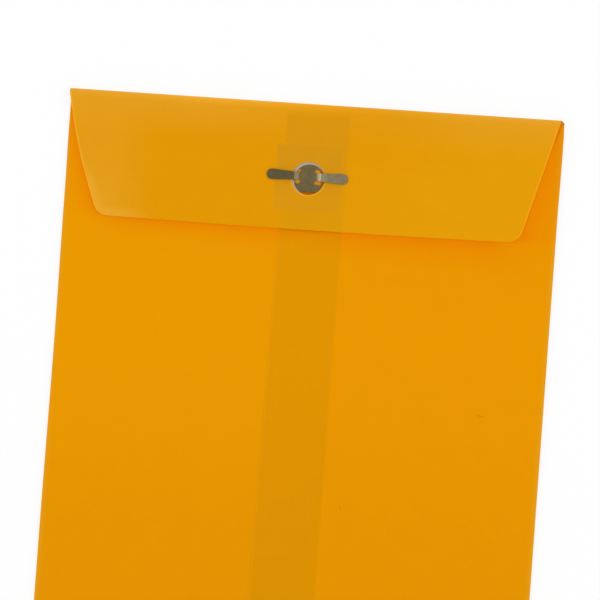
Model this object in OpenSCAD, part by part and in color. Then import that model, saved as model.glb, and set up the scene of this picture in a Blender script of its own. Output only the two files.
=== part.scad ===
/*
Clasp envelope of kraft paper, empty and closed. It lies on its plain front with
the closure flap up. The origin is the centre of its outline on the surface that
it lies on, +Y points at the top fold, where the closure flap turns over, and +Z up.
*/

/* [Envelope] */
// Width across the side folds
env_w = 190.5; // [120:0.5:330]
// Length from the bottom fold to the top fold
env_l = 266.7; // [160:0.1:460]
// Thickness of the paper
paper_t = 0.15; // [0.12:0.01:0.2]
// Clear height inside the empty pocket
pocket_h = 1; // [0.7:0.05:3]
// Drop of the pocket's mouth below the top fold, at the seam
mouth_drop = 4.6; // [4:0.1:12]
// Drop of the pocket's mouth below the top fold, at the side folds
side_drop = 2.9; // [2.6:0.1:3.9]
// How far the front panel's right shoulder stands out past the side fold
shoulder_out = 0.3; // [0:0.05:1]

/* [Centre seam] */
// Width of the glued overlap of the two back panels, halfway down the envelope
seam_lap = 24.5; // [22:0.5:60]
// Place of the overlap's middle, to the right of the envelope's centre
seam_x = 0.05; // [-1:0.05:3]
// Lean of the upper panel's free edge, which widens the overlap towards the bottom
seam_lean = 0.5; // [0:0.1:0.6]
// Length of the ramp where the upper panel comes down off the lower one
seam_ramp = 1; // [0.5:0.1:3]

/* [Closure flap] */
// Depth of the flap at its corners
flap_d = 48.3; // [42:0.1:80]
// Lean of the flap's side edges
flap_lean = 15.5; // [0:0.1:30]
// Radius of the flap's free corners
flap_r = 5.8; // [1:0.1:12]
// How much narrower the flap starts than the envelope, on each side
flap_inset = 0.1; // [0:0.1:5]
// How far the flap is out of true to the left
flap_shift = 0.9; // [0:0.1:3]
// Outward bow of the flap's left edge
flap_bow = 1.2; // [0:0.1:1.5]
// Downward bow of the flap's free edge
flap_sag = 0.6; // [0:0.1:3]
// Length over which the flap comes down from the patch to lie on the seam
settle_l = 5; // [3:0.5:6]

/* [Bottom flap] */
// Depth of the glued bottom flap
bottom_d = 32; // [15:0.5:60]
// Lean of the bottom flap's side edges
bottom_lean = 18; // [0:1:30]
// Radius of the bottom flap's free corners
bottom_r = 9; // [1:0.5:14]
// How much narrower the bottom flap starts than the envelope, on each side
bottom_inset = 0.6; // [0.5:0.1:5]

/* [Eyelet] */
// Diameter of the hole punched in the flap
hole_d = 12.7; // [11:0.1:16]
// Drop of the hole's centre below the top fold
hole_drop = 28.9; // [24:0.1:32]
// Place of the hole's centre, to the left of the envelope's centre
hole_left = 1.65; // [0:0.05:2]
// Side of the square reinforcing patch under the flap
patch_w = 25.4; // [20:0.1:28]
// Thickness of the patch
patch_t = 0.15; // [0.1:0.01:0.3]
// Diameter of the hole in the patch
patch_hole_d = 11.9; // [10.5:0.1:12.5]
// How far the patch's hole is out of true, to the right
patch_off_x = 0.5; // [0:0.1:0.6]
// How far the patch's hole is out of true, down
patch_off_y = 0.5; // [0:0.1:0.6]

/* [Clasp] */
// Thickness of the tinplate
clasp_t = 0.28; // [0.2:0.01:0.4]
// Distance between the tips of the two prongs
clasp_span = 31.5; // [26:0.5:38]
// Rise of the clasp's middle above the hole's centre
clasp_up = 0.7; // [0:0.1:1]
// Place of the clasp's middle, to the left of the hole's centre
clasp_left = 0.35; // [0:0.05:0.5]
// Turn of the clasp out of true, clockwise
clasp_turn = 0.8; // [0:0.1:1]
// Distance between the two bends where the prongs leave the plate
root_span = 6.8; // [5:0.1:7]
// Width of a prong at its bend
root_w = 2.8; // [2:0.1:3.2]
// Width of a prong near its tip
prong_w = 4.1; // [3:0.1:5]
// Gap left beside each prong where it was cut out of the plate
notch_w = 1.5; // [1.1:0.1:1.6]
// How far the notches run past the bends, into the middle of the plate
notch_in = 0.7; // [0.3:0.1:1.2]
// Height of a prong above the flap at the top of its ramp
prong_rise = 0.4; // [0.1:0.05:1]
// Slope of the ramp by which a prong climbs out of the hole
prong_ramp = 32; // [25:1:60]
// Inside radius of the two bends at the ends of the ramp
ramp_r = 0.3; // [0.1:0.05:0.5]
// Width of each of the plate's four rails
rail_w = 3.1; // [2.5:0.1:4]
// Distance between the tabs at the two ends of the plate
tab_span = 17; // [15:0.5:18]
// Width of a tab
tab_w = 2; // [1.2:0.1:2.4]
// Length of a tab's end, folded over inside the pocket
clinch_l = 2; // [1:0.1:3]
// Inside radius of the bends in a tab
tab_r = 0.1; // [0.05:0.01:0.1]

/* [Clearances] */
// How far a glued layer of paper sinks into the one below
glue_sink = 0.02; // [0.01:0.01:0.04]
// Play between the flap's free edge and the seam below it
flap_play = 0.02; // [0.01:0.01:0.1]
// Play between the clasp's plate and the patch above it
plate_play = 0.05; // [0.02:0.01:0.3]
// Play between the folded tabs and the panel above them
clinch_play = 0.02; // [0.01:0.01:0.1]
// Play around each tab in its slit
slit_play = 0.12; // [0.12:0.01:0.4]

/* [Hidden] */

// Heights of the stacked layers, each named after its lower face
back_z = paper_t + pocket_h;
lap_z = back_z + paper_t - glue_sink;
plate_z = lap_z + paper_t;
patch_z = plate_z + clasp_t + plate_play;
flap_z = patch_z + patch_t;
prong_z = flap_z + paper_t;
bottom_z = lap_z;

// Radii of the folds, along the middle of the sheet
side_fold_r = back_z / 2;
top_fold_r = flap_z / 2;
bottom_fold_r = bottom_z / 2;

// Where the flat of each panel ends and its fold begins
flat_x = env_w / 2 - side_fold_r - paper_t / 2;
top_y = env_l / 2 - top_fold_r - paper_t / 2;
bottom_y = -env_l / 2 + bottom_fold_r + paper_t / 2;
mouth_y = env_l / 2 - mouth_drop;
side_y = env_l / 2 - side_drop;

// The straight run that a fold shares with the panel it belongs to
fold_run = 1;
// Where the back panels and the side folds begin, over the bottom fold's run
panel_y = bottom_y + fold_run / 2;

// Side edges of the overlap: the upper panel's free edge and the lower panel's hidden one.
// The free edge leans, and its ends are those at the mouth and at the bottom fold.
lap_left = seam_x - seam_lap / 2;
lap_right = seam_x + seam_lap / 2;
lap_left_top = lap_left + mouth_y * tan(seam_lean);
lap_left_low = lap_left + panel_y * tan(seam_lean);

// The closure flap's ends at the top fold
flap_left = -env_w / 2 + flap_inset - flap_shift;
flap_right = env_w / 2 - flap_inset - flap_shift;
shoulder_x = env_w / 2 + shoulder_out;
bottom_half = env_w / 2 - bottom_inset;
// Sideways place of the envelope that centres its whole outline on the origin
env_x = -(min(flap_left, -env_w / 2) + shoulder_x) / 2;

// Middle of the hole and of the clasp
hole_pos = [-hole_left, env_l / 2 - hole_drop];
clasp_pos = hole_pos + [-clasp_left, clasp_up];
notch_h = root_w / 2 + notch_w;
plate_h = notch_h + rail_w;

// Steps in a half turn of a fold, in a corner and along a bowed edge
fold_steps = 12;
corner_steps = 10;
bow_steps = 12;
// Facets around a punched hole
hole_fn = 96;
// How far a cutting shape reaches past what it cuts
cut = 1;

// Points of an arc from angle a to angle b, both ends included
function arc(centre, r, a, b, steps = fold_steps) =
    [for (i = [0 : steps]) let (d = a + (b - a) * i / steps) centre + r * [cos(d), sin(d)]];

function unit(v) = v / norm(v);
function turned(v) = [-v[1], v[0]];
function reversed(list) = [for (i = [len(list) - 1 : -1 : 0]) list[i]];
function last(list) = list[len(list) - 1];

// The path shifted sideways by d, with every straight stretch kept parallel
function shifted(path, d) = [
    for (i = [0 : len(path) - 1])
        let (
            before = turned(unit(path[max(i, 1)] - path[max(i, 1) - 1])),
            after = turned(unit(path[min(i + 1, len(path) - 1)] - path[min(i, len(path) - 2)])),
            middle = unit(before + after)
        )
        path[i] + d / (middle * before) * middle
];

// The corner b of the line a, b, c, rounded to radius r
function rounded(a, b, c, r) =
    let (
        to_a = unit(a - b),
        to_c = unit(c - b),
        half = acos(to_a * to_c) / 2,
        centre = b + unit(to_a + to_c) * r / sin(half),
        from = b + to_a * r / tan(half) - centre,
        to = b + to_c * r / tan(half) - centre,
        start = atan2(from[1], from[0]),
        sweep = atan2(from[0] * to[1] - from[1] * to[0], from * to)
    )
    arc(centre, r, start, start + sweep, corner_steps);

// Points between p and q on an edge that bows to its right by sag
function bowed(p, q, sag) = [
    for (i = [1 : bow_steps - 1])
        let (s = i / bow_steps)
        p + (q - p) * s - turned(unit(q - p)) * sag * 4 * s * (1 - s)
];

// Outline of a tapered flap that turns over at the height y and reaches back by depth.
// depth is negative on a flap that points down. The outline runs from the flap's right
// end along the free edge to its left end.
function flap_outline(left, right, y, depth, lean, r, bow = 0, sag = 0) =
    let (
        taper = abs(depth) * tan(lean),
        base_a = [right, y],
        base_b = [left, y],
        free_a = [right - taper, y + depth],
        free_b = [left + taper, y + depth],
        corner_a = rounded(base_a, free_a, free_b, r),
        corner_b = rounded(free_a, free_b, base_b, r)
    )
    concat(
        [base_a], corner_a, bowed(last(corner_a), corner_b[0], -sag),
        corner_b, bowed(last(corner_b), base_b, -bow), [base_b]
    );

// A sheet of thickness t seen edge on, bent along a path through its middle
module strip(path, t) {
    polygon(concat(shifted(path, t / 2), reversed(shifted(path, -t / 2))));
}

// Stands a side view up, drawn as [x, z], and stretches it from y_from to y_to
module along_y(y_from, y_to) {
    translate([0, y_to, 0])
        rotate([90, 0, 0])
            linear_extrude(y_to - y_from)
                children();
}

// Stands a side view up, drawn as [y, z], and stretches it across the envelope
module across_x() {
    translate([-env_w, 0, 0])
        rotate([90, 0, 90])
            linear_extrude(2 * env_w)
                children();
}

// The front panel, flat on the ground, up to where the top and bottom folds begin. Its
// shoulders keep the full width above the side folds.
module front_panel() {
    linear_extrude(paper_t)
        polygon([
            [flat_x, side_y],
            [env_w / 2, side_y],
            [shoulder_x, top_y],
            [flap_left, top_y],
            [flap_left, top_y - fold_run / 2],
            [-env_w / 2, side_y],
            [-flat_x, side_y],
            [-flat_x, panel_y],
            [-bottom_half, bottom_y + fold_run / 4],
            [-bottom_half, bottom_y],
            [bottom_half, bottom_y],
            [bottom_half, bottom_y + fold_run / 4],
            [flat_x, panel_y]
        ]);
}

// The side folds and the two back panels, which overlap in the glued seam
module back_panels() {
    front_mid = paper_t / 2;
    back_mid = back_z + paper_t / 2;
    lap_mid = lap_z + paper_t / 2;
    fold_mid = (front_mid + back_mid) / 2;
    intersection() {
        along_y(panel_y, side_y)
            strip(concat(
                [[-flat_x + fold_run, front_mid]],
                arc([-flat_x, fold_mid], side_fold_r, -90, -270),
                [[lap_right, back_mid]]
            ), paper_t);
        panel_plan([[lap_right + cut, mouth_y], [lap_left, mouth_y], [-flat_x, side_y]], -env_w);
    }
    intersection() {
        along_y(panel_y, side_y)
            strip(concat(
                [[flat_x - fold_run, front_mid]],
                arc([flat_x, fold_mid], side_fold_r, -90, 90),
                [
                    [lap_right + 1.5 * seam_ramp, back_mid],
                    [lap_right + 0.5 * seam_ramp, lap_mid],
                    [lap_left_low - cut, lap_mid]
                ]
            ), paper_t);
        panel_plan([
            [lap_left_low, panel_y], [lap_left_top, mouth_y], [lap_right, mouth_y], [flat_x, side_y]
        ], env_w);
    }
}

// Upright prism over a back panel's cut edge, closed far out past the side fold at side_x
module panel_plan(edge, side_x) {
    start = edge[0][0];
    translate([0, 0, -cut])
        linear_extrude(plate_z + 2 * cut)
            polygon(concat(edge, [[side_x, side_y], [side_x, -env_l], [start, -env_l]]));
}

// One slit through the seam for each tab of the clasp
module slits() {
    translate([clasp_pos[0], clasp_pos[1], (back_z + plate_z) / 2])
        rotate(-clasp_turn)
            for (x = [-1, 1], y = [-1, 1])
                translate([x * tab_span / 2, y * (notch_h + rail_w / 2), 0])
                    cube([clasp_t + 2 * slit_play, tab_w + 2 * slit_play, pocket_h], center = true);
}

// The closure flap with its fold and its punched hole. Below the patch it comes down to
// lie on the seam.
module closure_flap() {
    front_mid = paper_t / 2;
    flap_mid = flap_z + paper_t / 2;
    settled_mid = plate_z + flap_play + paper_t / 2;
    settle_y = hole_pos[1] - patch_w / 2 - patch_t;
    free_y = env_l / 2 - flap_d - flap_sag;
    difference() {
        intersection() {
            across_x()
                strip(concat(
                    [[top_y - fold_run, front_mid]],
                    arc([top_y, (front_mid + flap_mid) / 2], top_fold_r, -90, 90),
                    [
                        [settle_y, flap_mid],
                        [settle_y - settle_l, settled_mid],
                        [min(free_y, settle_y - settle_l) - cut, settled_mid]
                    ]
                ), paper_t);
            translate([0, 0, -cut])
                linear_extrude(prong_z + 2 * cut)
                    polygon(flap_outline(flap_left, flap_right, env_l / 2, -flap_d,
                        flap_lean, flap_r, flap_bow, flap_sag));
        }
        translate([hole_pos[0], hole_pos[1], patch_z])
            cylinder(h = prong_z, d = hole_d, $fn = hole_fn);
    }
}

// The bottom flap, folded up over the back panels and glued down along the seam's steps
module bottom_flap() {
    front_mid = paper_t / 2;
    low_mid = bottom_z + paper_t / 2;
    high_mid = low_mid + paper_t - glue_sink;
    flap_plan = flap_outline(-bottom_half, bottom_half, -env_l / 2, bottom_d, bottom_lean, bottom_r);
    across_fold = 2 * bottom_half;
    translate([-bottom_half, 0, 0])
        rotate([90, 0, 90])
            linear_extrude(across_fold)
                strip(concat(
                    [[bottom_y + fold_run / 4, front_mid]],
                    arc([bottom_y, (front_mid + low_mid) / 2], bottom_fold_r, -90, -270),
                    [[bottom_y + fold_run, low_mid]]
                ), paper_t);
    intersection() {
        along_y(bottom_y, -env_l / 2 + bottom_d + cut)
            strip([
                [-env_w / 2, low_mid],
                [lap_left_low - seam_ramp, low_mid],
                [lap_left_low - seam_ramp / 4, high_mid],
                [lap_right + seam_ramp / 2, high_mid],
                [lap_right + 1.5 * seam_ramp, low_mid],
                [env_w / 2, low_mid]
            ], paper_t);
        translate([0, 0, -cut])
            linear_extrude(prong_z + 2 * cut)
                polygon(flap_plan);
    }
}

// The folded sheet, all of one piece of paper
module envelope() {
    color([0.9, 0.59, 0.04])
        translate([env_x, 0, 0]) {
            difference() {
                union() {
                    front_panel();
                    back_panels();
                }
                slits();
            }
            closure_flap();
            bottom_flap();
        }
}

// Reinforcing patch glued to the underside of the flap, its hole a little out of true
module eyelet_patch() {
    color([0.68, 0.62, 0.55])
        translate([env_x + hole_pos[0], hole_pos[1], patch_z])
            difference() {
                translate([-patch_w / 2, -patch_w / 2, 0])
                    cube([patch_w, patch_w, patch_t]);
                translate([patch_off_x, -patch_off_y, -cut])
                    cylinder(h = patch_t + 2 * cut, d = patch_hole_d, $fn = hole_fn);
            }
}

// The clasp's plate: a web between the two bends, and four rails that carry the tabs.
// The notches beside each prong have round ends.
module clasp_plate() {
    rail_x = tab_span / 2 - tab_r - clasp_t / 2;
    notch_x = root_span / 2 - notch_in + notch_w / 2;
    translate([0, 0, plate_z])
        linear_extrude(clasp_t)
            difference() {
                square([2 * rail_x, 2 * plate_h], center = true);
                for (x = [-1, 1]) {
                    translate([x * (notch_x + rail_x), 0])
                        square([2 * rail_x, 2 * notch_h], center = true);
                    for (y = [-1, 1])
                        translate([x * notch_x, y * (root_w + notch_w) / 2])
                            circle(d = notch_w, $fn = 32);
                }
            }
}

// One prong, which climbs out of the hole by a ramp and comes down to rest its tip on the flap
module prong() {
    plate_mid = plate_z + clasp_t / 2;
    tip_mid = prong_z + clasp_t / 2;
    crest_mid = tip_mid + prong_rise;
    bend_mid = ramp_r + clasp_t / 2;
    bend_h = bend_mid * (1 - cos(prong_ramp));
    bend_l = bend_mid * sin(prong_ramp);
    root_x = root_span / 2;
    tip_x = clasp_span / 2;
    crest_x = root_x + 2 * bend_l + (crest_mid - plate_mid - 2 * bend_h) / tan(prong_ramp);
    droop = atan2(prong_rise, tip_x - crest_x);
    intersection() {
        rotate([90, 0, 0])
            translate([0, 0, -prong_w])
                linear_extrude(2 * prong_w)
                    strip(concat(
                        [[0, plate_mid]],
                        arc([root_x, plate_mid + bend_mid], bend_mid, -90, prong_ramp - 90),
                        arc([crest_x, crest_mid - bend_mid], bend_mid, 90 + prong_ramp, 90 - droop),
                        [[tip_x + cut, tip_mid - cut * tan(droop)]]
                    ), clasp_t);
        translate([0, 0, plate_z - cut])
            linear_extrude(crest_mid + 2 * cut)
                polygon(concat(
                    [[0, root_w / 2], [0, -root_w / 2], [root_x, -root_w / 2]],
                    arc([tip_x - prong_w / 2, 0], prong_w / 2, -90, 90),
                    [[root_x, root_w / 2]]
                ));
    }
}

// One tab, bent down off its rail, through its slit and back under the panels
module tab() {
    plate_mid = plate_z + clasp_t / 2;
    bend_mid = tab_r + clasp_t / 2;
    clinch_mid = back_z - clinch_play - clasp_t / 2;
    leg_x = tab_span / 2;
    rotate([90, 0, 0])
        translate([0, 0, -tab_w / 2])
            linear_extrude(tab_w)
                strip(concat(
                    [[leg_x - bend_mid - cut, plate_mid]],
                    arc([leg_x - bend_mid, plate_mid - bend_mid], bend_mid, 90, 0),
                    arc([leg_x - bend_mid, clinch_mid + bend_mid], bend_mid, 0, -90),
                    [[leg_x - bend_mid - clinch_l, clinch_mid]]
                ), clasp_t);
}

// The clasp, stamped from one piece of tinplate
module clasp() {
    color([0.5, 0.49, 0.42])
        translate([env_x + clasp_pos[0], clasp_pos[1], 0])
            rotate(-clasp_turn) {
                clasp_plate();
                for (side = [0, 1])
                    mirror([side, 0, 0]) {
                        prong();
                        for (y = [-1, 1])
                            translate([0, y * (notch_h + rail_w / 2), 0])
                                tab();
                    }
            }
}

envelope();
eyelet_patch();
clasp();
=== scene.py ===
"""Looks of a closed clasp envelope of kraft paper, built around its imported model.

The sheet is cut flat, as a blank, and then folded. Lengths are in metres.
"""

import math

import bmesh
import bpy
from mathutils import Matrix, Vector, noise


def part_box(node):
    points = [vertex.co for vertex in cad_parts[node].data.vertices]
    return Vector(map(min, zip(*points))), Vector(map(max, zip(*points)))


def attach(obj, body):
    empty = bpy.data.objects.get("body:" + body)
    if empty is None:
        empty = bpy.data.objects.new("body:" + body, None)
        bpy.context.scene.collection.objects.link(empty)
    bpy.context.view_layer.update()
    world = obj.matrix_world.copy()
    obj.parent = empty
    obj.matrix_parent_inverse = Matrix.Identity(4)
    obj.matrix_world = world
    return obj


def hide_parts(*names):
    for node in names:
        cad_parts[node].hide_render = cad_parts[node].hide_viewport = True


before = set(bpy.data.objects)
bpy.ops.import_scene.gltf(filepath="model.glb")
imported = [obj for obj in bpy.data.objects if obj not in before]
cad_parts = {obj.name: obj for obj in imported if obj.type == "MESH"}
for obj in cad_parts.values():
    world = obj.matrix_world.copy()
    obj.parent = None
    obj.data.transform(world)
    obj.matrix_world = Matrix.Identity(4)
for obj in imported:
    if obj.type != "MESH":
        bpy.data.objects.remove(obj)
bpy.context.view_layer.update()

MM = 0.001

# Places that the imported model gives
sheet_low, sheet_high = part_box("envelope")
patch_low, patch_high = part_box("eyelet_patch")
clasp_low, clasp_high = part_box("clasp")
HOLE = (patch_low + patch_high).to_2d() / 2
CLASP = (clasp_low + clasp_high).to_2d() / 2

# The paper and its pocket
PAPER = 0.15 * MM
POCKET = 1 * MM
GLUE_SINK = 0.02 * MM
WIDTH = 190.5 * MM
FRONT_MID = PAPER / 2
BACK_MID = PAPER + POCKET + PAPER / 2
LAP_MID = BACK_MID + PAPER - GLUE_SINK
FLAP_MID = sheet_high.z - PAPER / 2
SIDE_R = (BACK_MID - FRONT_MID) / 2
TOP_R = (FLAP_MID - FRONT_MID) / 2
BOTTOM_R = (LAP_MID - FRONT_MID) / 2

# Fold lines and cut edges of the blank, measured from the middle of the front panel
FLAT_X = WIDTH / 2 - SIDE_R - PAPER / 2
TOP_Y = sheet_high.y - TOP_R - PAPER / 2
BOTTOM_Y = sheet_low.y + BOTTOM_R + PAPER / 2
PANEL_Y = BOTTOM_Y + 0.5 * MM
SHOULDER_X = WIDTH / 2 + 0.05 * MM
SHOULDER_Y = TOP_Y - 0.5 * MM

# The pocket's mouth, at the side folds and at the seam
SIDE_Y = sheet_high.y - 1.9 * MM
MOUTH_Y = sheet_high.y - 4.6 * MM

# Where the front panel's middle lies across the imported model
MIDDLE_X = sheet_high.x - WIDTH / 2 - 0.3 * MM

# The seam, whose upper panel has a free edge that leans
LAP_LEFT = -12.2 * MM
LAP_RIGHT = 12.3 * MM
LAP_LEAN = math.tan(math.radians(0.5))
LAP_RAMP = 1 * MM
LAP_STEP = LAP_RIGHT + 0.5 * LAP_RAMP, LAP_RIGHT + 1.5 * LAP_RAMP

# The closure flap
FLAP_LEFT = sheet_low.x - MIDDLE_X
CREST_LEFT = FLAP_LEFT + 0.35 * MM
FLAP_RIGHT = 94 * MM
FLAP_DEPTH = 48.3 * MM
FLAP_LEANS = math.radians(15.9), math.radians(15.3)
FLAP_CORNER_R = 5.8 * MM
FLAP_BOW = 1.2 * MM
FLAP_SAG = 0.5 * MM

# The bottom flap
LOW_FLAP_HALF = WIDTH / 2 - 0.6 * MM
LOW_FLAP_DEPTH = 32 * MM
LOW_FLAP_LEANS = math.radians(18), math.radians(18)
LOW_FLAP_CORNER_R = 9 * MM

# The punched hole, and the slits for the clasp's four tabs
HOLE_R = 6.35 * MM
HOLE_SEGMENTS = 96
HOLE_SQUARE_HALF = 9 * MM
SLIT_X = 8.5 * MM
SLIT_Y = 4.45 * MM
SLIT_HALF = Vector((0.26 * MM, 1.12 * MM))
CLASP_TURN = math.radians(-0.8)

# Spacing of the sheet's mesh, and the steps of a fold, a corner and a bowed edge
CELL = 3 * MM
FOLD_STEPS = 12
CORNER_STEPS = 10
BOW_STEPS = 8

# How near a cut keeps to a corner, how level a rim's normal is, and which edges shade as sharp
CUT_SNAP = 1e-7
RIM_NORMAL_Z = 0.5
SMOOTH_ANGLE = math.radians(20)

# Gentle waves of the panels, which grow with the distance from the sides and from the clasp
PANEL_WAVE = 0.1 * MM
WAVE_LENGTH = 60 * MM
WAVE_FROM_SIDE = 0, 15 * MM
WAVE_FROM_CLASP = 20 * MM, 45 * MM

# Where the closure flap comes down: below and beside the patch, and away from its fold
FLAP_PLAY = 0.02 * MM
FALL_BELOW_PATCH = 0.3 * MM, 5.3 * MM
FALL_BESIDE_PATCH = 1 * MM, 22 * MM
FALL_FROM_FOLD = 0, 11 * MM

# The slight bend of the sides: how far, and where along the envelope it starts and ends
SIDE_FLARE = 0.19 * MM
FLARE_LOW, FLARE_FULL, FLARE_END = 95 * MM, 118 * MM, 5 * MM
LEFT_HOLLOW = 0.26 * MM
HOLLOW_HIGH, HOLLOW_DEEPEST, HOLLOW_LOW = 90 * MM, 38 * MM, -40 * MM


def srgb(red, green, blue):
    """A colour given as it shows on a screen, 0 to 255, as the shader's linear one."""
    def linear(value):
        value /= 255
        return value / 12.92 if value <= 0.04045 else ((value + 0.055) / 1.055) ** 2.4
    return (linear(red), linear(green), linear(blue), 1)


def smooth_step(value, low, high):
    """Share from 0 to 1 as value goes from low to high, eased at both ends."""
    share = min(max((value - low) / (high - low), 0), 1)
    return share * share * (3 - 2 * share)


# Cutting the blank

def with_edges(faces):
    """Faces with all their edges and corners, as the cutting operator wants them."""
    found = dict.fromkeys(faces)
    for face in faces:
        found.update(dict.fromkeys(face.edges))
        found.update(dict.fromkeys(face.verts))
    return list(found)


def cut(bm, faces, point, normal):
    """Cuts faces along the line through point, square to normal, and returns them all."""
    result = bmesh.ops.bisect_plane(
        bm, geom=with_edges(faces), dist=CUT_SNAP,
        plane_co=(point[0], point[1], 0), plane_no=(normal[0], normal[1], 0),
    )
    return [item for item in result["geom"] if isinstance(item, bmesh.types.BMFace)]


def faces_where(bm, test):
    return [face for face in bm.faces if test(face.calc_center_median())]


def drop(bm, faces):
    bmesh.ops.delete(bm, geom=faces, context="FACES")


def trim(bm, test, start, stop):
    """Cuts the faces that pass the test along a line, and drops what lies to its left."""
    along = stop - start
    normal = Vector((-along.y, along.x))
    cut(bm, faces_where(bm, test), start, normal)
    drop(bm, faces_where(bm, lambda c: test(c) and (c.to_2d() - start).dot(normal) > 0))


def trim_to(bm, test, outline):
    for start, stop in zip(outline, outline[1:]):
        trim(bm, test, start, stop)


def arc(centre, radius, start, stop, steps):
    return [
        centre + radius * Vector((math.cos(a), math.sin(a)))
        for a in (start + (stop - start) * i / steps for i in range(steps + 1))
    ]


def bowed(start, stop, bow):
    """Points between start and stop on an edge that bows out by bow to its left."""
    along = (stop - start).normalized()
    side = Vector((-along.y, along.x))
    shares = [i / BOW_STEPS for i in range(1, BOW_STEPS)]
    return [start.lerp(stop, s) + side * bow * 4 * s * (1 - s) for s in shares]


def flap_edge(left, right, base, depth, leans, corner_r, bow=0, sag=0):
    """Outline of a tapered flap that points up on the blank, clockwise from its left end."""
    left_in, right_in = (
        depth * math.tan(lean) + corner_r * math.tan(math.pi / 4 - lean / 2) for lean in leans
    )
    low_left, low_right = Vector((left, base)), Vector((right, base))
    left_centre = Vector((left + left_in, base + depth - corner_r))
    right_centre = Vector((right - right_in, base + depth - corner_r))
    left_arc = arc(left_centre, corner_r, math.pi - leans[0], math.pi / 2, CORNER_STEPS)
    right_arc = arc(right_centre, corner_r, math.pi / 2, leans[1], CORNER_STEPS)
    return (
        [low_left] + bowed(low_left, left_arc[0], bow) + left_arc
        + bowed(left_arc[-1], right_arc[0], sag) + right_arc + [low_right]
    )


def wrap(radius):
    """Length of paper that half a turn of a fold takes."""
    return math.pi * radius


SIDE_END = FLAT_X + wrap(SIDE_R)
SIDE_CREST = (FLAT_X + SIDE_END) / 2
TOP_END = TOP_Y + wrap(TOP_R)
TOP_CREST = (TOP_Y + TOP_END) / 2
BOTTOM_END = BOTTOM_Y - wrap(BOTTOM_R)

# The outlines of the two flaps, each from the end of its fold on
CLOSURE_EDGE = flap_edge(
    FLAP_LEFT, FLAP_RIGHT, TOP_END, TOP_Y - (sheet_high.y - FLAP_DEPTH),
    FLAP_LEANS, FLAP_CORNER_R, FLAP_BOW, FLAP_SAG,
)
LOW_EDGE = [
    Vector((-point.x, -point.y)) for point in flap_edge(
        -LOW_FLAP_HALF, LOW_FLAP_HALF, -BOTTOM_END,
        sheet_low.y + LOW_FLAP_DEPTH - BOTTOM_Y, LOW_FLAP_LEANS, LOW_FLAP_CORNER_R,
    )
]


def on_blank(x, y, layer):
    """Where a place on the folded envelope lies on the blank. layer is left, right or flap."""
    if layer == "left":
        return Vector((-SIDE_END - (x + FLAT_X), y))
    if layer == "right":
        return Vector((SIDE_END + FLAT_X - x, y))
    return Vector((x, TOP_END + TOP_Y - y))


def free_edge_x(y):
    """Place across the envelope of the upper back panel's leaning free edge."""
    return LAP_LEFT + y * LAP_LEAN


def trim_shoulders(bm):
    """The blank's cuts beside its top and bottom folds, and the ends of the folds."""
    for side, shoulder_x, crest_x, fold_x in (
        (-1, FLAP_LEFT, CREST_LEFT, FLAP_LEFT),
        (1, SHOULDER_X, FLAP_RIGHT, FLAP_RIGHT),
    ):
        below_panel = (
            (side * LOW_FLAP_HALF, BOTTOM_END), (side * LOW_FLAP_HALF, BOTTOM_Y),
            (side * FLAT_X, PANEL_Y),
        )
        above_panel = (
            (side * SIDE_CREST, SIDE_Y), (shoulder_x, SHOULDER_Y), (shoulder_x, TOP_Y),
            (crest_x, TOP_CREST), (fold_x, TOP_END),
        )
        for corners in (below_panel, above_panel):
            corners = [Vector(corner) for corner in corners]
            for low, high in zip(corners, corners[1:]):
                row = lambda c: low.y < c.y < high.y
                trim(bm, row, *((low, high) if side < 0 else (high, low)))


def trim_mouth(bm):
    """The pocket's mouth, which slants down from each side fold to the seam."""
    for side, layer, fold_x, lap_x in (
        (-1, "left", -FLAT_X, LAP_LEFT), (1, "right", FLAT_X, LAP_RIGHT)
    ):
        fold_end = on_blank(fold_x, SIDE_Y, layer)
        seam_start = on_blank(lap_x, MOUTH_Y, layer)
        panel = lambda c: c.x * side > SIDE_END and PANEL_Y < c.y < SIDE_Y
        cut(bm, faces_where(bm, panel), seam_start, (1, 0))
        slant = [fold_end, seam_start]
        level = [seam_start, seam_start + Vector((side * CELL, 0))]
        if side < 0:
            slant.reverse()
            level.reverse()
        trim(bm, lambda c: panel(c) and c.x * side < seam_start.x * side, *slant)
        trim(bm, lambda c: panel(c) and c.x * side > seam_start.x * side, *level)
    trim(
        bm, lambda c: c.x > SIDE_END,
        *(on_blank(free_edge_x(y), y, "right") for y in (SIDE_Y, PANEL_Y))
    )


def cut_slits(bm, layer):
    """One slit for each tab of the clasp, through one layer of the seam."""
    side = -1 if layer == "left" else 1
    for place_x in (-SLIT_X, SLIT_X):
        for place_y in (-SLIT_Y, SLIT_Y):
            place = CLASP + Matrix.Rotation(CLASP_TURN, 2) @ Vector((place_x, place_y))
            middle = on_blank(place.x - MIDDLE_X, place.y, layer)
            low, high = middle - SLIT_HALF, middle + SLIT_HALF
            in_column = lambda c: low.x < c.x < high.x
            for corner in (low, high):
                cut(bm, faces_where(bm, lambda c: c.x * side > SIDE_END), corner, (1, 0))
            for corner in (low, high):
                cut(bm, faces_where(bm, in_column), corner, (0, 1))
            drop(bm, faces_where(bm, lambda c: in_column(c) and low.y < c.y < high.y))


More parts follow.
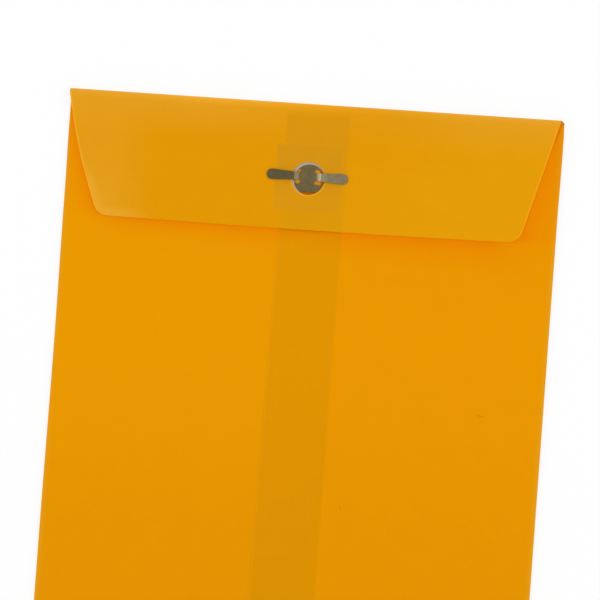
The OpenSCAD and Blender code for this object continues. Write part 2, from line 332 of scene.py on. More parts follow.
def punch_hole(bm):
    """The round hole in the closure flap. Returns the ring of faces round it."""
    middle = on_blank(HOLE.x - MIDDLE_X, HOLE.y, "flap")
    half = Vector((HOLE_SQUARE_HALF, HOLE_SQUARE_HALF))
    low, high = middle - half, middle + half
    in_rows = lambda c: low.y < c.y < high.y
    for corner in (low, high):
        cut(bm, faces_where(bm, lambda c: c.y > TOP_END), corner, (0, 1))
    for corner in (low, high):
        cut(bm, faces_where(bm, in_rows), corner, (1, 0))
    square = faces_where(bm, lambda c: in_rows(c) and low.x < c.x < high.x)
    sides = [edge for face in square for edge in face.edges]
    bmesh.ops.delete(bm, geom=square, context="FACES_ONLY")
    split = bmesh.ops.subdivide_edges(bm, edges=sides, cuts=HOLE_SEGMENTS // 4 - 1)
    rim = [
        item for item in dict.fromkeys(split["geom_inner"] + split["geom_split"])
        if isinstance(item, bmesh.types.BMEdge) and item.is_boundary
    ]
    lifted = Matrix.Translation((middle.x, middle.y, CELL))
    circle = bmesh.ops.create_circle(
        bm, segments=HOLE_SEGMENTS, radius=HOLE_R,
        matrix=lifted @ Matrix.Rotation(math.pi / 4, 4, "Z"),
    )["verts"]
    edge_of_hole = list(dict.fromkeys(edge for vert in circle for edge in vert.link_edges))
    ring = bmesh.ops.bridge_loops(bm, edges=rim + edge_of_hole)["faces"]
    bmesh.ops.translate(bm, verts=circle, vec=(0, 0, -CELL))
    return set(ring)


def divide(bm, kept, axis, start, stop, count):
    """Cuts all faces but the kept ones into count columns, or rows where axis is 1."""
    normal = (1, 0) if axis == 0 else (0, 1)
    places = [start + (stop - start) * i / count for i in range(1, count)]
    faces = faces_where(bm, lambda c: start < c[axis] < stop)
    faces = [face for face in faces if face not in kept]
    for place in places:
        faces = cut(bm, faces, (place, place), normal)
        faces = [face for face in faces if face.calc_center_median()[axis] > place]


def cells(length):
    return max(1, round(length / CELL))


def flat_blank():
    """The whole blank, cut out of one rectangle and divided into cells."""
    left = on_blank(LAP_RIGHT, 0, "left").x
    right = on_blank(free_edge_x(PANEL_Y), 0, "right").x
    bottom = LOW_EDGE[len(LOW_EDGE) // 2].y - CELL
    top = CLOSURE_EDGE[len(CLOSURE_EDGE) // 2].y + CELL
    bm = bmesh.new()
    bmesh.ops.create_grid(
        bm, x_segments=1, y_segments=1, size=0.5,
        matrix=Matrix.Translation(((left + right) / 2, (top + bottom) / 2, 0))
        @ Matrix.Diagonal((right - left, top - bottom, 1, 1)),
    )
    for place in (-SIDE_END, -FLAT_X, FLAT_X, SIDE_END):
        cut(bm, bm.faces[:], (place, 0), (1, 0))
    rows = BOTTOM_END, BOTTOM_Y, PANEL_Y, SIDE_Y, SHOULDER_Y, TOP_Y, TOP_CREST, TOP_END
    for place in rows:
        cut(bm, bm.faces[:], (0, place), (0, 1))
    drop(bm, faces_where(bm, lambda c: abs(c.x) > SIDE_END and not PANEL_Y < c.y < SIDE_Y))
    trim_shoulders(bm)
    trim_to(bm, lambda c: c.y > TOP_END, CLOSURE_EDGE)
    trim_to(bm, lambda c: c.y < BOTTOM_END, LOW_EDGE)
    trim_mouth(bm)
    cut_slits(bm, "left")
    cut_slits(bm, "right")
    kept = punch_hole(bm)
    side_columns = cells(right - SIDE_END)
    for axis, start, stop, count in (
        (0, left, -SIDE_END, side_columns), (0, -SIDE_END, -FLAT_X, FOLD_STEPS),
        (0, -FLAT_X, FLAT_X, cells(2 * FLAT_X)),
        (0, FLAT_X, SIDE_END, FOLD_STEPS), (0, SIDE_END, right, side_columns),
        (1, bottom, BOTTOM_END, cells(BOTTOM_END - bottom)), (1, BOTTOM_END, BOTTOM_Y, FOLD_STEPS),
        (1, PANEL_Y, SIDE_Y, cells(SIDE_Y - PANEL_Y)),
        (1, TOP_Y, TOP_END, FOLD_STEPS), (1, TOP_END, top, cells(top - TOP_END)),
    ):
        divide(bm, kept, axis, start, stop, count)
    return bm


# Folding the blank

def rolled(length, offset, radius):
    """Advance and rise of a point that lies length past a fold line and offset off mid-sheet."""
    turn = min(length / radius, math.pi)
    past = max(length - wrap(radius), 0)
    advance = (radius - offset) * math.sin(turn) - past
    return advance, radius - (radius - offset) * math.cos(turn)


def panel_wave(x, y):
    """Gentle waves of the back panels, level at the side folds and round the clasp."""
    free = smooth_step(FLAT_X - abs(x), *WAVE_FROM_SIDE)
    free *= smooth_step((Vector((x + MIDDLE_X, y)) - CLASP).length, *WAVE_FROM_CLASP)
    place = Vector((x / WAVE_LENGTH, y / WAVE_LENGTH, 0))
    return PANEL_WAVE * free * noise.noise(place)


def seam_step(x):
    """Share of the step by which the upper back panel climbs onto the lower one."""
    return 1 - smooth_step(x, *LAP_STEP)


def above_panels(x, y):
    """Height, over a single back panel, of a layer that lies on the panels and their seam."""
    left = smooth_step(x, free_edge_x(y) - LAP_RAMP, free_edge_x(y))
    return (LAP_MID - BACK_MID) * left * seam_step(x) + panel_wave(x, y)


def flap_fall(x, y):
    """How far the closure flap comes down from the patch and its fold to lie on the panels."""
    below = smooth_step(patch_low.y - y, *FALL_BELOW_PATCH)
    from_patch = abs(x + MIDDLE_X - HOLE.x) - (patch_high.x - patch_low.x) / 2
    beside = smooth_step(from_patch, *FALL_BESIDE_PATCH) * smooth_step(TOP_Y - y, *FALL_FROM_FOLD)
    settled = BACK_MID + PAPER + FLAP_PLAY + above_panels(x, y)
    return (FLAP_MID - settled) * (1 - (1 - below) * (1 - beside))


def side_bend(x, y):
    """Shift across that flares both sides beside the flap and hollows the left one below."""
    flare = smooth_step(y, FLARE_LOW, FLARE_FULL) * smooth_step(TOP_Y - y, 0, FLARE_END)
    hollow = smooth_step(HOLLOW_HIGH - y, 0, HOLLOW_HIGH - HOLLOW_DEEPEST)
    hollow *= smooth_step(y, HOLLOW_LOW, HOLLOW_DEEPEST)
    outward = SIDE_FLARE * flare - (LEFT_HOLLOW * hollow if x < 0 else 0)
    return outward * x / FLAT_X


def folded(point):
    """A point of the flat blank, moved to where it lies once the blank is folded."""
    x, y, offset = point
    z = FRONT_MID + offset
    if y > TOP_Y:
        advance, rise = rolled(y - TOP_Y, offset, TOP_R)
        y, z = TOP_Y + advance, FRONT_MID + rise
        z -= flap_fall(x, y)
    elif y < BOTTOM_Y:
        advance, rise = rolled(BOTTOM_Y - y, offset, BOTTOM_R)
        y, z = BOTTOM_Y - advance, FRONT_MID + rise
        z += smooth_step(z, FRONT_MID, LAP_MID) * above_panels(x, y)
    elif abs(x) > FLAT_X:
        side = math.copysign(1, x)
        past = abs(x) - FLAT_X
        advance, rise = rolled(past, offset, SIDE_R)
        opened = smooth_step(y, SIDE_Y, TOP_Y)
        advance += (past - advance) * opened
        rise += (offset - rise) * opened
        x, z = side * (FLAT_X + advance), FRONT_MID + rise
        z += smooth_step(z, FRONT_MID, BACK_MID) * panel_wave(x, y)
        if side > 0 and past > SIDE_END - FLAT_X:
            z += (LAP_MID - BACK_MID) * seam_step(x)
    if point.y <= TOP_Y:
        x += side_bend(x, y)
    return Vector((x + MIDDLE_X, y, z))


def flap_outline_in_plan():
    """The closure flap's outline as it lies on the folded envelope."""
    return [Vector((p.x + MIDDLE_X, TOP_Y + TOP_END - p.y)) for p in CLOSURE_EDGE]


def gap_to(outline, place):
    """Distance of a place from a convex outline, positive outside it."""
    widest = -math.inf
    for start, stop in zip(outline, outline[1:]):
        along = (stop - start).normalized()
        widest = max(widest, (place - start).dot(Vector((along.y, -along.x))))
    return widest


def make_piece(name, bm, body, materials):
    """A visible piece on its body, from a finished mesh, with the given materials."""
    mesh = bpy.data.meshes.new(name)
    bm.to_mesh(mesh)
    bm.free()
    piece = bpy.data.objects.new(name, mesh)
    bpy.context.scene.collection.objects.link(piece)
    for material in materials:
        mesh.materials.append(material)
    mesh.shade_smooth()
    mesh.set_sharp_from_angle(angle=SMOOTH_ANGLE)
    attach(piece, body)
    return piece


def envelope_sheet():
    """The whole sheet of paper, cut, given its thickness and folded."""
    bm = flat_blank()
    bmesh.ops.recalc_face_normals(bm, faces=bm.faces[:])
    bmesh.ops.solidify(bm, geom=bm.faces[:], thickness=PAPER)
    middle = sum(vert.co.z for vert in bm.verts) / len(bm.verts)
    bmesh.ops.translate(bm, verts=bm.verts[:], vec=(0, 0, -middle))
    bm.normal_update()
    blank_map = bm.loops.layers.uv.new("blank")
    for face in bm.faces:
        face.material_index = 1 if abs(face.normal.z) < RIM_NORMAL_Z else 0
        for loop in face.loops:
            loop[blank_map].uv = loop.vert.co.to_2d()
    inner = bm.verts.layers.float.new("inner")
    for vert in bm.verts:
        vert[inner] = vert.co.z > 0
        vert.co = folded(vert.co)
    outline = flap_outline_in_plan()
    flap_gap = bm.verts.layers.float.new("flap_gap")
    for vert in bm.verts:
        vert[flap_gap] = gap_to(outline, vert.co.to_2d())
    bmesh.ops.recalc_face_normals(bm, faces=bm.faces[:])
    sheet = make_piece("envelope_sheet", bm, "root", [kraft(), cut_edge()])
    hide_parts("envelope")


# The photograph's view, which sees the envelope a little out of square, from its lower right

PHOTO_SIZE = 600
PHOTO_SCALE = 0.38469 * MM
AIM = Vector((-1.145 * MM, 57.459 * MM, LAP_MID))
CAMERA_AWAY = 8
CAMERA_TILT = math.radians(6.67)
CAMERA_SIDE = math.radians(-48.5)
CAMERA_ROLL = math.radians(4.243)
SENSOR_WIDTH = 36
CLIP_START, CLIP_END = 0.1, 40

LINE_OF_SIGHT = Vector((
    math.sin(CAMERA_TILT) * math.cos(CAMERA_SIDE),
    math.sin(CAMERA_TILT) * math.sin(CAMERA_SIDE),
    math.cos(CAMERA_TILT),
))
LEVEL_UP = Vector((-math.sin(CAMERA_ROLL), math.cos(CAMERA_ROLL), 0))
CAMERA_RIGHT = LEVEL_UP.cross(LINE_OF_SIGHT).normalized()
CAMERA_UP = LINE_OF_SIGHT.cross(CAMERA_RIGHT)


def place_on_photo(column, row):
    """The place on the envelope that a pixel of the photograph shows."""
    half = PHOTO_SIZE / 2
    seen = AIM + PHOTO_SCALE * ((column - half) * CAMERA_RIGHT - (row - half) * CAMERA_UP)
    return seen - LINE_OF_SIGHT * (seen.z - LAP_MID) / LINE_OF_SIGHT.z


# Finishes

class Wiring:
    """Adds nodes to one tree. A number, a colour or another node's socket can be an input."""

    def __init__(self, tree):
        self.tree = tree

    def fill(self, sockets, values):
        """Gives each named socket its value, or links it to the socket given for it."""
        for name, value in values.items():
            if isinstance(value, bpy.types.NodeSocket):
                self.tree.links.new(value, sockets[name])
            else:
                sockets[name].default_value = value

    def add(self, kind, inputs=(), **settings):
        made = self.tree.nodes.new(kind)
        for name, value in settings.items():
            setattr(made, name, value)
        self.fill(made.inputs, dict(inputs))
        return made

    def group(self, tree, **inputs):
        made = self.add("ShaderNodeGroup", node_tree=tree)
        self.fill(made.inputs, inputs)
        return made.outputs

    def object_place(self):
        return self.add("ShaderNodeTexCoord").outputs["Object"]

    def attribute(self, name):
        return self.add("ShaderNodeAttribute", attribute_name=name).outputs["Fac"]

    def math(self, operation, first, second=0.0, third=0.0):
        return self.add(
            "ShaderNodeMath", {0: first, 1: second, 2: third}, operation=operation,
        ).outputs[0]

    def times(self, first, second):
        return self.math("MULTIPLY", first, second)

    def minus(self, first, second):
        return self.math("SUBTRACT", first, second)

    def vector(self, operation, first, second):
        return self.add(
            "ShaderNodeVectorMath", {0: first, 1: second}, operation=operation,
        ).outputs[0]

    def turned(self, vector, angle):
        return self.add(
            "ShaderNodeVectorRotate", {"Vector": vector, "Angle": angle},
            rotation_type="Z_AXIS",
        ).outputs[0]

    def parts(self, vector):
        return self.add("ShaderNodeSeparateXYZ", {0: vector}).outputs

    def ramp(self, value, low, high, start=0.0, end=1.0):
        """A smooth change from start to end as value goes from low to high."""
        return self.add(
            "ShaderNodeMapRange",
            {"Value": value, "From Min": low, "From Max": high, "To Min": start, "To Max": end},
            interpolation_type="SMOOTHSTEP",
        ).outputs["Result"]

    def band(self, value, low, high, soft):
        """One between low and high and nothing outside, over a soft edge."""
        rising = self.ramp(value, low - soft / 2, low + soft / 2)
        falling = self.ramp(value, high - soft / 2, high + soft / 2, 1.0, 0.0)
        return self.times(rising, falling)

    def mix(self, share, first, second, blend="MIX"):
        """The first colour, with the second over it by a share. Sockets 6 and 7 take colours."""
        return self.add(
            "ShaderNodeMix", {0: share, 6: first, 7: second},
            data_type="RGBA", blend_type=blend,
        ).outputs[2]

    def between(self, share, first, second):
        """A number that goes from the first to the second by a share, on sockets 2 and 3."""
        return self.add(
            "ShaderNodeMix", {0: share, 2: first, 3: second}, data_type="FLOAT",
        ).outputs[0]

    def noise(self, vector, scale, detail):
        """Noise from -1 to 1."""
        made = self.add(
            "ShaderNodeTexNoise", {"Vector": vector, "Scale": scale, "Detail": detail},
        )
        return self.math("MULTIPLY_ADD", made.outputs["Fac"], 2.0, -1.0)

    def relief(self, height, strength, depth):
        """The surface's direction, roughened by a height."""
        return self.add(
            "ShaderNodeBump", {"Strength": strength, "Distance": depth, "Height": height},
        ).outputs[0]


def new_group(name, inputs, outputs):
    """A node group with the given sockets, its wiring, and its two end nodes."""
    tree = bpy.data.node_groups.new(name, "ShaderNodeTree")
    for socket, kind in inputs.items():
        tree.interface.new_socket(socket, in_out="INPUT", socket_type="NodeSocket" + kind)
    for socket, kind in outputs.items():
        tree.interface.new_socket(socket, in_out="OUTPUT", socket_type="NodeSocket" + kind)
    wiring = Wiring(tree)
    return wiring, wiring.add("NodeGroupInput").outputs, wiring.add("NodeGroupOutput").inputs


def new_material(name):
    """A material with its wiring, its shader and its output's surface already joined."""
    material = bpy.data.materials.new(name)
    material.use_nodes = True
    tree = material.node_tree
    tree.nodes.clear()
    wiring = Wiring(tree)
    shader = wiring.add("ShaderNodeBsdfPrincipled")
    wiring.add("ShaderNodeOutputMaterial", {"Surface": shader.outputs[0]})
    return material, wiring, shader


# The paper's grain: scale and detail of each noise, and the stretch and turn of the fibres
CLOUD_NOISE = 110, 3
ALONG_NOISE = 1500, 2
ACROSS_NOISE = 1200, 2
ALONG_STRETCH = (1, 0.22, 1)
ACROSS_STRETCH = (1, 0.25, 1)
ACROSS_TURN = 1.1
CLOUD_HEIGHT = 0.5


def paper_grain():
    """Group: clouds, crossing fibres and their relief, as values round zero."""
    wiring, given, put = new_group(
        "paper_grain", {"Vector": "Vector"},
        {"Cloud": "Float", "Fibre": "Float", "Height": "Float"},
    )
    cloud = wiring.noise(given["Vector"], *CLOUD_NOISE)
    along = wiring.noise(wiring.vector("MULTIPLY", given["Vector"], ALONG_STRETCH), *ALONG_NOISE)
    turned = wiring.turned(given["Vector"], ACROSS_TURN)
    across = wiring.noise(wiring.vector("MULTIPLY", turned, ACROSS_STRETCH), *ACROSS_NOISE)
    fibre = wiring.math("MAXIMUM", along, across)
    height = wiring.math("MULTIPLY_ADD", cloud, CLOUD_HEIGHT, fibre)
    wiring.fill(put, {"Cloud": cloud, "Fibre": fibre, "Height": height})
    return wiring.tree


# How a stray fibre fades out to its sides and past its ends
FIBRE_SIDES = 0.1 * MM, 0.3 * MM
FIBRE_ENDS = -0.2 * MM, 0.2 * MM


def stray_fibre():
    """Group: one short bent fibre lying on the paper, as a mask."""
    wiring, given, put = new_group(
        "stray_fibre",
        {"Vector": "Vector", "Place": "Vector", "Turn": "Float", "Length": "Float", "Bend": "Float"},
        {"Mask": "Float"},
    )
    local = wiring.vector("SUBTRACT", given["Vector"], given["Place"])
    x, y, _ = wiring.parts(wiring.turned(local, given["Turn"]))
    curve = wiring.times(wiring.times(x, x), given["Bend"])
    off = wiring.math("ABSOLUTE", wiring.minus(y, curve))
    thin = wiring.ramp(off, *FIBRE_SIDES, 1.0, 0.0)
    past = wiring.minus(wiring.math("ABSOLUTE", x), given["Length"])
    short = wiring.ramp(past, *FIBRE_ENDS, 1.0, 0.0)
    wiring.fill(put, {"Mask": wiring.times(thin, short)})
    return wiring.tree


PAPER_GRAIN = paper_grain()
STRAY_FIBRE = stray_fibre()

# Each stray fibre's middle, turn, half length, bend and strength
STRAY_FIBRES = (
    (place_on_photo(480, 416.2), math.radians(15), 1.35 * MM, 60, 0.8),
    (place_on_photo(340, 508), math.radians(69), 1.3 * MM, 60, 0.5),
)
DARK_FIBRE = srgb(214, 120, 0)


def toned(wiring, colour, amount):
    """The colour made lighter or darker by a value round zero."""
    level = wiring.math("ADD", amount, 1.0)
    grey = wiring.add("ShaderNodeCombineXYZ", {0: level, 1: level, 2: level}).outputs[0]
    return wiring.mix(1.0, colour, grey, "MULTIPLY")


def distance(wiring, x, y, place):
    """How far the point x, y lies from a place."""
    from_x = wiring.minus(x, place.x)
    from_y = wiring.minus(y, place.y)
    way = wiring.add("ShaderNodeCombineXYZ", {0: from_x, 1: from_y}).outputs[0]
    return wiring.add("ShaderNodeVectorMath", {0: way}, operation="LENGTH").outputs["Value"]


# Places on the paper are measured from the middle of its front panel. Where two lengths
# stand together, a colour or a strength changes from the first to the second, and a third
# length is the softness of a band's two edges
HOLE_PLACE = Vector((HOLE.x - MIDDLE_X, HOLE.y))
ACROSS_PAPER = -90 * MM, 90 * MM

# The panels, which are darker where the seam makes them double and painted darker towards the
# bottom, as shade where the light falls off
KRAFT_LEFT = srgb(233, 152.3, 0.3)
KRAFT_RIGHT = srgb(233.3, 150, 0.3)
KRAFT_LOW_SHADED = srgb(227.8, 147.5, 2)
SEAM_HIGH = srgb(224, 147.3, 2)
SEAM_LOW_SHADED = srgb(219.5, 144, 2.5)
SIDE_FOLD_SHADING = srgb(227, 156, 26)
EDGE_HIGHLIGHT = srgb(240, 165, 33)
FALLOFF_DOWN = 45 * MM, -60 * MM
SEAM_START = -0.1 * MM, 0.1 * MM
SEAM_STOP = LAP_RIGHT - 0.4 * MM, LAP_RIGHT + 1.2 * MM
FREE_EDGE = 0.0, 0.3 * MM, 0.15 * MM
FREE_EDGE_HIGHLIGHT = 0.5
RIM_SPAN = WIDTH / 2 - 2.6 * MM, WIDTH / 2
RIM_SHADING_STRENGTH = 0.9

# Where, on the blank, the right panel's colours begin, the closure flap's begin, and how far
# the bottom flap takes the panels' colours
SIDE_CHANGE = SIDE_CREST - 0.2 * MM, SIDE_CREST + 0.2 * MM
FLAP_CHANGE = TOP_CREST - 0.5 * MM, TOP_CREST
LOW_FLAP_STRENGTH = 0.6

# The inside of the front panel at the two ends of the mouth, painted lighter to offset the shade
# that the fold and the flap throw on it
SHOULDER_PAINTED_LIGHT = srgb(255, 176, 28)
SHOULDER_ACROSS = FLAT_X - 8 * MM, FLAT_X - 4 * MM
SHOULDER_ALONG = SIDE_Y - 1 * MM, SIDE_Y

# The closure flap's shade on the panels: its reach and strength at the left and the right,
# what the seam adds to its reach, and what it loses below the flap's corners
WARM_SHADE = (1, 0.7, 0.2, 1)
CONTACT_SHADE = (0.88, 0.9, 0.9, 1)
CONTACT_REACH = 0.2 * MM, 1.1 * MM
BELOW_FLAP = sheet_high.y - FLAP_DEPTH + 2 * MM, sheet_high.y - FLAP_DEPTH - 1 * MM
REACH_BELOW = 3.2 * MM, 5.9 * MM
REACH_BESIDE = 4.6 * MM, 11 * MM
REACH_OVER_SEAM = -1.8 * MM
STRENGTH_BESIDE = 0.9, 0.8
CORNER_SPAN = 4 * MM, 13 * MM
CORNER_LOSS = 0.5, 0.0

# Where the closure flap's edges would meet in its corners, seen from above
FLAP_CORNERS = [
    Vector((end + (TOP_Y - sheet_high.y + FLAP_DEPTH) * math.tan(turn), sheet_high.y - FLAP_DEPTH))
    for end, turn in ((FLAP_LEFT, FLAP_LEANS[0]), (FLAP_RIGHT, -FLAP_LEANS[1]))
]


def kraft_on_panels(wiring, x, y, share_right, gap):
    """Colour of the back panels: darker in the seam, and warm in the closure flap's shade."""
    # Painted shade: the panels darken towards the bottom, where the light falls off
    down = wiring.ramp(y, *FALLOFF_DOWN)
    single = wiring.mix(wiring.ramp(x, LAP_LEFT, LAP_RIGHT), KRAFT_LEFT, KRAFT_RIGHT)
    single = wiring.mix(down, single, KRAFT_LOW_SHADED)
    double = wiring.mix(down, SEAM_HIGH, SEAM_LOW_SHADED)
    past_edge = wiring.minus(x, wiring.math("MULTIPLY_ADD", y, LAP_LEAN, LAP_LEFT))
    left = wiring.ramp(past_edge, *SEAM_START)
    right = wiring.ramp(x, *SEAM_STOP, 1.0, 0.0)
    in_seam = wiring.times(left, right)
    colour = wiring.mix(in_seam, single, double)
    # Painted highlight along the free edge of the seam's upper panel
    free_edge = wiring.times(wiring.band(past_edge, *FREE_EDGE), share_right)
    colour = wiring.mix(wiring.times(free_edge, FREE_EDGE_HIGHLIGHT), colour, EDGE_HIGHLIGHT)
    # Painted shading of the side folds' curve, within a few millimetres of each side
    rim = wiring.ramp(wiring.math("ABSOLUTE", x), *RIM_SPAN)
    colour = wiring.mix(wiring.times(rim, RIM_SHADING_STRENGTH), colour, SIDE_FOLD_SHADING)
    outside = wiring.math("MAXIMUM", gap, 0.0)
    colour = wiring.mix(flap_shade(wiring, x, y, outside, in_seam), colour, WARM_SHADE, "MULTIPLY")
    close = wiring.ramp(outside, *CONTACT_REACH, 1.0, 0.0)
    return wiring.mix(wiring.times(close, in_seam), colour, CONTACT_SHADE, "MULTIPLY")


def flap_shade(wiring, x, y, outside, in_seam):
    """Share of the warm shade that the closure flap throws, weak below its two corners."""
    below = wiring.ramp(y, *BELOW_FLAP)
    under = wiring.ramp(x, *ACROSS_PAPER, *REACH_BELOW)
    under = wiring.math("MULTIPLY_ADD", in_seam, REACH_OVER_SEAM, under)
    beside = wiring.ramp(x, *ACROSS_PAPER, *REACH_BESIDE)
    reach = wiring.between(below, beside, under)
    fading = wiring.math("DIVIDE", outside, wiring.times(reach, -1.0))
    strength = wiring.ramp(x, *ACROSS_PAPER, *STRENGTH_BESIDE)
    strength = wiring.between(below, strength, 1.0)
    shade = wiring.times(wiring.math("EXPONENT", fading), strength)
    for corner in FLAP_CORNERS:
        away = distance(wiring, x, y, corner)
        lost = wiring.times(wiring.ramp(away, *CORNER_SPAN, *CORNER_LOSS), below)
        shade = wiring.times(shade, wiring.minus(1.0, lost))
    return shade


# The closure flap. Depths run down from the envelope's top edge
FLAP_LEFT_FIELD = srgb(225.5, 150.3, 4.5)
FLAP_RIGHT_FIELD = srgb(228.3, 155.3, 8)
FLAP_PALE = srgb(228, 157, 29)
FIELD_CHANGE = -10 * MM, 45 * MM
FIELD_SHIFT = 25 * MM
FIELD_SHIFT_DEPTH = 17 * MM, 30 * MM
LEFT_END = -58 * MM, -82 * MM
LEFT_END_STRENGTH = 0.65, 1.0
LOWER_DEPTH = 25 * MM, 42 * MM
ASIDE_SPAN = 8 * MM, 60 * MM
ASIDE_SHARE = 0.35, 1.0
PALE_DEPTH = 1 * MM, 18.5 * MM


def flap_field(wiring, x, depth):
    """The flap's colour, the mask of its paler left end, and how far aside the seam lies."""
    shifted = wiring.minus(x, wiring.ramp(depth, *FIELD_SHIFT_DEPTH, FIELD_SHIFT, 0.0))
    colour = wiring.mix(wiring.ramp(shifted, *FIELD_CHANGE), FLAP_LEFT_FIELD, FLAP_RIGHT_FIELD)
    left_end = wiring.ramp(x, *LEFT_END)
    left_end = wiring.times(left_end, wiring.ramp(depth, *LOWER_DEPTH, *LEFT_END_STRENGTH))
    colour = wiring.mix(left_end, colour, FLAP_PALE)
    aside = wiring.math("ABSOLUTE", wiring.minus(x, LAP_RIGHT))
    aside = wiring.ramp(aside, *ASIDE_SPAN, *ASIDE_SHARE)
    pale = wiring.times(wiring.ramp(depth, *PALE_DEPTH, 1.0, 0.0), aside)
    return wiring.mix(pale, colour, FLAP_PALE), left_end, aside


# What shows through the closure flap: the seam, and the patch over it
FLAP_ON_HIGH_SEAM = srgb(217.8, 147.2, 16)
FLAP_ON_LOW_SEAM = srgb(219.3, 151.3, 10)
FLAP_ON_PATCH = srgb(212.5, 146.3, 20)
FLAP_ON_LOW_PATCH = srgb(217.5, 149.5, 17)
SEAM_THROUGH = free_edge_x(HOLE.y), LAP_RIGHT + 0.6 * MM, 1.4 * MM
SEAM_FROM_DEPTH = 2.5 * MM, 6 * MM
SEAM_STRENGTH = 0.0, 0.9
PATCH_SOFT = 1 * MM
PATCH_DOWN = HOLE.y - 2 * MM, HOLE.y - 9 * MM


def seen_through_flap(wiring, x, y, depth, colour):
    """The flap's colour, darker where the seam and the patch lie under it."""
    seam = wiring.band(x, *SEAM_THROUGH)
    seam = wiring.times(seam, wiring.ramp(depth, *SEAM_FROM_DEPTH, *SEAM_STRENGTH))
    on_seam = wiring.mix(wiring.ramp(depth, *LOWER_DEPTH), FLAP_ON_HIGH_SEAM, FLAP_ON_LOW_SEAM)
    colour = wiring.mix(seam, colour, on_seam)
    patch_x = wiring.band(x, patch_low.x - MIDDLE_X, patch_high.x - MIDDLE_X, PATCH_SOFT)
    patch_y = wiring.band(y, patch_low.y, patch_high.y, PATCH_SOFT)
    on_patch = wiring.mix(wiring.ramp(y, *PATCH_DOWN), FLAP_ON_PATCH, FLAP_ON_LOW_PATCH)
    return wiring.mix(wiring.times(patch_x, patch_y), colour, on_patch)


# The closure flap's fold with its painted highlight, its paler left edge, and the painted highlights
# along its cut edges and round its hole
CREST_HIGHLIGHT = srgb(226, 160, 43)
CREST_DEPTH = 0.0, 3.5 * MM
CREST_HIGHLIGHT_ACROSS = -58 * MM, 8 * MM, 34 * MM
CREST_HIGHLIGHT_TONE = 0.085, 0.05
PALE_LEFT_EDGE = srgb(233, 165, 44)
PALE_EDGE_GAP = -4.5 * MM, -0.8 * MM
PALE_EDGE_DEPTH = 26 * MM, 36 * MM
RIGHT_EDGE_HIGHLIGHT = srgb(240, 160, 20)
LINE_ACROSS = -60 * MM, 60 * MM
LINE_GAP = -0.7 * MM, 1 * MM, 0.3 * MM
LINE_DEPTH = FLAP_DEPTH - 3 * MM, FLAP_DEPTH - 0.5 * MM
HOLE_LINE = 0.0, HOLE_R + 0.6 * MM, 0.3 * MM
HOLE_LINE_DOWN = HOLE.y + 1 * MM, HOLE.y - 3 * MM
HOLE_LINE_STRENGTH = 0.0, 0.6


def kraft_on_flap(wiring, x, y, gap):
    """Colour of the closure flap, with what shows through it from below."""
    depth = wiring.minus(sheet_high.y, y)
    colour, left_end, aside = flap_field(wiring, x, depth)
    colour = seen_through_flap(wiring, x, y, depth, colour)
    # Painted highlight along the flap's fold, lighter over part of its width
    crest = wiring.ramp(depth, *CREST_DEPTH, 1.0, 0.0)
    colour = wiring.mix(wiring.times(crest, aside), colour, CREST_HIGHLIGHT)
    bright = wiring.math("MULTIPLY_ADD", wiring.band(x, *CREST_HIGHLIGHT_ACROSS), *CREST_HIGHLIGHT_TONE)
    colour = toned(wiring, colour, wiring.times(crest, bright))
    # Paler band along the lower part of the flap's left cut edge
    pale_edge = wiring.times(left_end, wiring.ramp(gap, *PALE_EDGE_GAP))
    pale_edge = wiring.times(pale_edge, wiring.ramp(depth, *PALE_EDGE_DEPTH))
    colour = wiring.mix(pale_edge, colour, PALE_LEFT_EDGE)
    # Painted highlights along the flap's slanted cut edges
    beside = wiring.ramp(depth, *LINE_DEPTH, 1.0, 0.0)
    line = wiring.band(gap, *LINE_GAP)
    highlight_colour = wiring.mix(wiring.ramp(x, *LINE_ACROSS), EDGE_HIGHLIGHT, RIGHT_EDGE_HIGHLIGHT)
    colour = wiring.mix(wiring.times(line, beside), colour, highlight_colour)
    # Painted highlight round the low side of the hole
    ring = wiring.band(distance(wiring, x, y, HOLE_PLACE), *HOLE_LINE)
    low_side = wiring.ramp(y, *HOLE_LINE_DOWN, *HOLE_LINE_STRENGTH)
    return wiring.mix(wiring.times(ring, low_side), colour, EDGE_HIGHLIGHT)


# The seam seen through the hole, paler in the notches between the patch and the clasp, and painted
# dark with shade towards the hole's edge, under the flap
IN_NOTCH = srgb(217, 148, 37)
HOLE_EDGE_SHADE = srgb(190, 103, 2)
HOLE_EDGE_SHADE_SPAN = 4.9 * MM, 5.6 * MM
ROUND_HOLE = HOLE_R + 0.5 * MM, HOLE_R + 2 * MM


def kraft_in_hole(wiring, x, y):
    """Colour of the seam in the hole, with painted shade towards its edge, and the mask of the
    hole's place.
    """
    away = distance(wiring, x, y, HOLE_PLACE)
    colour = wiring.mix(wiring.ramp(away, *HOLE_EDGE_SHADE_SPAN), IN_NOTCH, HOLE_EDGE_SHADE)
    return colour, wiring.ramp(away, *ROUND_HOLE, 1.0, 0.0)


# Kraft's grain in its colour, its relief and its gloss
CLOUD_TONE = 0.02
FIBRE_TONE = 0.025
GRAIN_DEPTH = 0.03 * MM
KRAFT_RELIEF = 0.35
KRAFT_ROUGHNESS = 0.06, 0.8
KRAFT_SPECULAR = 0.01


